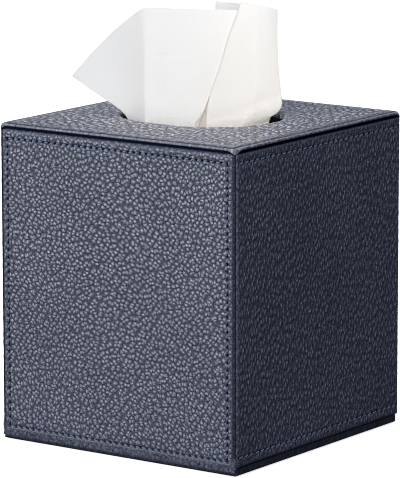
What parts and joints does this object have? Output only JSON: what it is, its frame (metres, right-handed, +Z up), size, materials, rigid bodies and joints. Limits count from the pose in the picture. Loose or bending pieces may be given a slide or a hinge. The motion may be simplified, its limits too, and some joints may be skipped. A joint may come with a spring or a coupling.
{
  "type": "tissue box cover",
  "caption": "Leather-wrapped cover for a cube box of tissues, with an oval opening in its lid, a hinged bottom flap and a tissue drawn up through the opening.",
  "frame": {"origin": "middle of the footprint, on the surface that the cover stands on", "axes": "+Z up, -Y towards the front wall that carries the flap's hinge, +X to the right"},
  "size_m": [0.1302, 0.1322, 0.198],
  "materials": {
    "wall_leather": "pebble-grained navy PU leather, semi-matt",
    "lid_leather": "fine-grained navy PU leather, semi-matt",
    "flap_leather": "smooth navy PU leather",
    "board": "raw fibreboard",
    "lining": "black suede-like cloth",
    "thread": "steel-blue sewing thread",
    "block_wood": "raw softwood",
    "magnet": "nickel-plated",
    "tissue_stack": "stacked white tissue",
    "tissue": "soft white facial tissue"
  },
  "bodies": {
    "root": {"front_board": "board", "front_leather": "wall_leather", "front_lining": "lining", "front_stitching": "thread", "right_board": "board", "right_leather": "wall_leather", "right_lining": "lining", "right_stitching": "thread", "rear_board": "board", "rear_leather": "wall_leather", "rear_lining": "lining", "rear_stitching": "thread", "left_board": "board", "left_leather": "wall_leather", "left_lining": "lining", "left_stitching": "thread", "lid_board": "board", "lid_leather": "lid_leather", "lid_lining": "lining", "hinge_leather": "wall_leather", "glue_blocks": "block_wood", "wall_magnets": "magnet", "tissue_pack": "tissue_stack", "tissue_sheet": "tissue"},
    "flap": {"flap_board": "board", "flap_leather": "flap_leather", "flap_lining": "lining", "flap_magnets": "magnet"}
  },
  "joints": [
    {"name": "flap_hinge", "type": "hinge", "parent": "root", "child": "flap", "pos_m": [0, -0.066, 0.00355], "axis": [-1, 0, 0], "range_deg": [0, 170], "deforming": ["hinge_leather"]}
  ]
}
